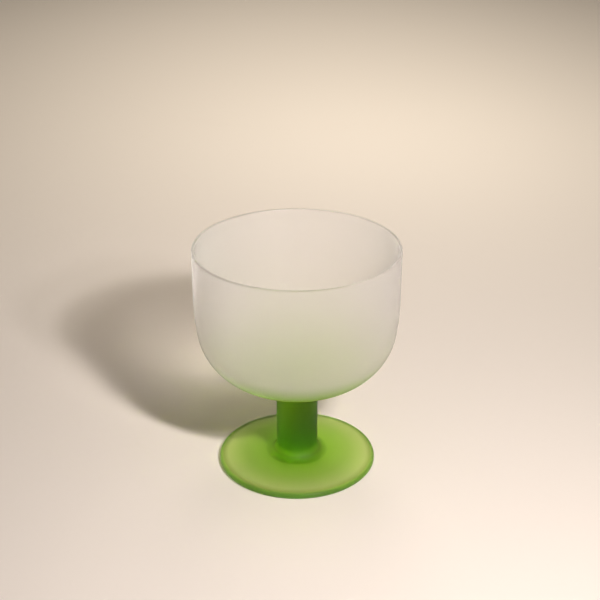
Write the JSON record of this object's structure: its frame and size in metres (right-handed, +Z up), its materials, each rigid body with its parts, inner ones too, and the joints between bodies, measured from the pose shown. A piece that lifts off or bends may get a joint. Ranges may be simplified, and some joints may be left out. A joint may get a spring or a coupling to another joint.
{
  "type": "wine glass",
  "caption": "Stemmed wine glass: a deep round satin glass bowl that fades into green at its base, on a thick green stem and a flat round green foot.",
  "frame": {"origin": "middle of the ring that the foot stands on, at the height of the surface under it", "axes": "+Z is up along the axis that bowl, stem and foot are turned about; X and Y are alike"},
  "size_m": [0.085, 0.085, 0.0993],
  "materials": {
    "satin_glass": "satin outside and inside, running into green at the base",
    "green_stem_glass": "satin, solid green glass",
    "green_foot_glass": "satin, green glass"
  },
  "bodies": {
    "root": {"bowl": "satin_glass", "stem": "green_stem_glass", "foot": "green_foot_glass"}
  },
  "joints": []
}
